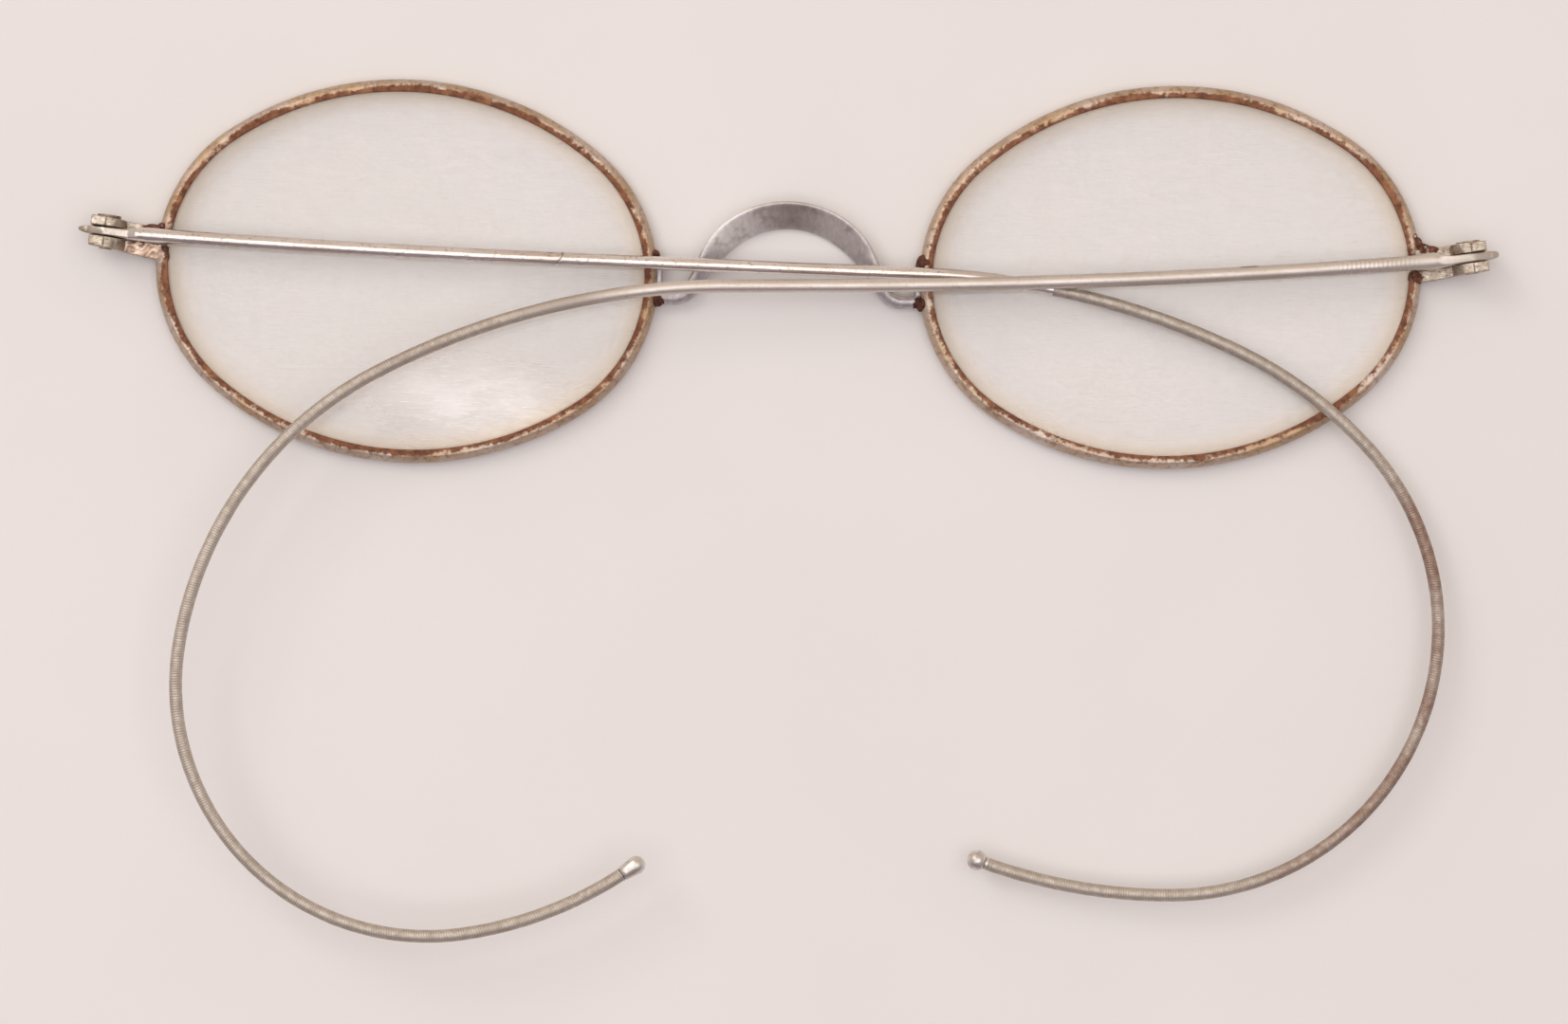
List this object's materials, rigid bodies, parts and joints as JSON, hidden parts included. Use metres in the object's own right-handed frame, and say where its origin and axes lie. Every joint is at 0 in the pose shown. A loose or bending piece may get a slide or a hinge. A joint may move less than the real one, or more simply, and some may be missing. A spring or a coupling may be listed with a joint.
{
  "type": "eyeglasses",
  "caption": "Antique wire spectacles with oval rims, a saddle bridge and curled cable temples that fold on screw hinges.",
  "frame": {"origin": "bottom centre of the folded object's bounding box, on the plane that the rims' front lips rest on", "axes": "+X to the right as seen from the wearer's side, +Y to the top of the lenses, +Z from the front of the lenses to the wearer's side"},
  "size_m": [0.114, 0.069, 0.0064],
  "materials": {
    "rim_metal": "worn nickel plate over steel, rusty along the inner lip",
    "lens_glass": "clear, lightly scratched and yellowed at the edge",
    "bridge_metal": "dull grey nickel",
    "joint_metal": "tarnished nickel with brown braze",
    "screw_steel": "dark worn steel",
    "temple_wire": "polished nickel, lightly tarnished",
    "cable_steel": "matt tarnished winding",
    "tip_solder": "satin solder"
  },
  "bodies": {
    "front": {"bridge": "bridge_metal", "left_rim": "rim_metal", "left_lens": "lens_glass", "left_upper_joint": "joint_metal", "left_lower_joint": "joint_metal", "left_hinge_screw": "screw_steel", "right_rim": "rim_metal", "right_lens": "lens_glass", "right_upper_joint": "joint_metal", "right_lower_joint": "joint_metal", "right_hinge_screw": "screw_steel"},
    "left_temple": {"left_temple_shaft": "temple_wire", "left_cable_core": "cable_steel", "left_cable_winding": "cable_steel", "left_temple_tip": "tip_solder"},
    "right_temple": {"right_temple_shaft": "temple_wire", "right_cable_core": "cable_steel", "right_cable_winding": "cable_steel", "right_temple_tip": "tip_solder"}
  },
  "joints": [
    {"name": "left_hinge", "type": "hinge", "parent": "front", "child": "left_temple", "pos_m": [-0.0546, 0.02195, 0.00245], "axis": [-0.1201, -0.9928, 0], "range_deg": [0, 95]},
    {"name": "right_hinge", "type": "hinge", "parent": "front", "child": "right_temple", "pos_m": [0.0546, 0.02074, 0.00245], "axis": [-0.1444, 0.9895, 0], "range_deg": [0, 93]}
  ]
}
